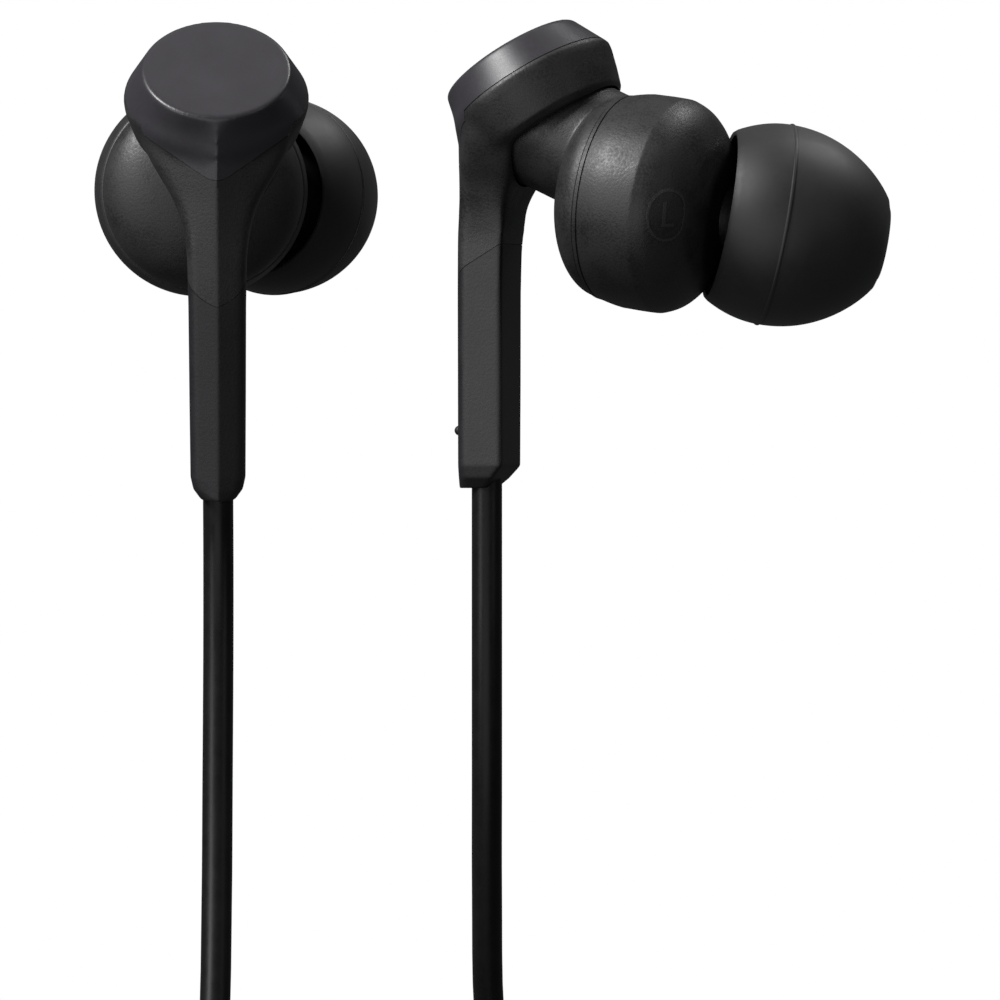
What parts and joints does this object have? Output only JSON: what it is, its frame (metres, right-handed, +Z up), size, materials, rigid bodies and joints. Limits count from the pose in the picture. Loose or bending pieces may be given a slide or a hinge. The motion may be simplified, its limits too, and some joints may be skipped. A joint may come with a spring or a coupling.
{
  "type": "wired earphones",
  "caption": "Wired in-ear earphones hung by the ears: tilted round caps, angled housings with silicone tips, and a cord put away in tied hanks, with splitter and plug.",
  "frame": {"origin": "middle of the front of the left eartip, where it meets the ear", "axes": "+Z up along the hanging stems, +X across the pair from the right earpiece to the left one, +Y away from the right cap's face towards the back"},
  "size_m": [0.0499, 0.0339, 0.1639],
  "materials": {
    "satin_black_plastic": "satin",
    "grained_black_plastic": "spark-eroded grain",
    "smooth_black_plastic": "satin",
    "black_silicone": "matte",
    "cord_elastomer": "semi-gloss",
    "screen_steel": "plain",
    "plated_magnet": "nickel plated",
    "enamelled_copper": "enamelled",
    "diaphragm_film": "film",
    "terminal_board": "solder mask",
    "gold_plate": "plated",
    "insulator_ring": "plain"
  },
  "bodies": {
    "earphones": {"cord_splitter": "smooth_black_plastic", "cord_tie": "smooth_black_plastic", "left_cap": "satin_black_plastic", "left_cord_hank": "cord_elastomer", "left_cord_knot": "cord_elastomer", "left_cord_lower": "cord_elastomer", "left_cord_upper": "cord_elastomer", "left_driver_basket": "screen_steel", "left_front_housing": "grained_black_plastic", "left_hub_stem": "grained_black_plastic", "left_lead_wires": "enamelled_copper", "left_magnet": "plated_magnet", "left_nozzle_mesh": "screen_steel", "left_pole_plate": "screen_steel", "left_rear_housing": "grained_black_plastic", "left_stem_bushing": "smooth_black_plastic", "left_terminal_board": "terminal_board", "main_cord_hank": "cord_elastomer", "main_cord_lower": "cord_elastomer", "main_cord_upper": "cord_elastomer", "plug_grip": "smooth_black_plastic", "plug_lower_insulator": "insulator_ring", "plug_relief": "smooth_black_plastic", "plug_ring_contact": "gold_plate", "plug_sleeve_contact": "gold_plate", "plug_tip_contact": "gold_plate", "plug_upper_insulator": "insulator_ring", "right_cap": "satin_black_plastic", "right_cord_hank": "cord_elastomer", "right_cord_knot": "cord_elastomer", "right_cord_lower": "cord_elastomer", "right_cord_upper": "cord_elastomer", "right_driver_basket": "screen_steel", "right_front_housing": "grained_black_plastic", "right_hub_stem": "grained_black_plastic", "right_lead_wires": "enamelled_copper", "right_magnet": "plated_magnet", "right_nozzle_mesh": "screen_steel", "right_pole_plate": "screen_steel", "right_rear_housing": "grained_black_plastic", "right_stem_bushing": "smooth_black_plastic", "right_terminal_board": "terminal_board"},
    "left_eartip": {"left_eartip": "black_silicone"},
    "right_eartip": {"right_eartip": "black_silicone"},
    "left_cone": {"left_diaphragm": "diaphragm_film", "left_voice_coil": "enamelled_copper"},
    "right_cone": {"right_diaphragm": "diaphragm_film", "right_voice_coil": "enamelled_copper"},
    "slider": {"cord_slider": "smooth_black_plastic"}
  },
  "joints": [
    {"name": "left_eartip_pull", "type": "slide", "parent": "earphones", "child": "left_eartip", "axis": [0.9794, 0.1029, -0.1736], "range_m": [0, 0.008]},
    {"name": "right_eartip_pull", "type": "slide", "parent": "earphones", "child": "right_eartip", "axis": [0.4394, 0.8981, -0.018], "range_m": [0, 0.008]},
    {"name": "left_diaphragm_stroke", "type": "slide", "parent": "earphones", "child": "left_cone", "axis": [0.8964, -0.418, -0.1478], "range_m": [-0.00015, 0.00015], "stiffness_N_per_m": 100},
    {"name": "right_diaphragm_stroke", "type": "slide", "parent": "earphones", "child": "right_cone", "axis": [-0.0776, 0.9967, 0.0256], "range_m": [-0.00015, 0.00015], "stiffness_N_per_m": 100},
    {"name": "slider_slide", "type": "slide", "parent": "earphones", "child": "slider", "axis": [0, 0, 1], "range_m": [0, 0.003]}
  ]
}
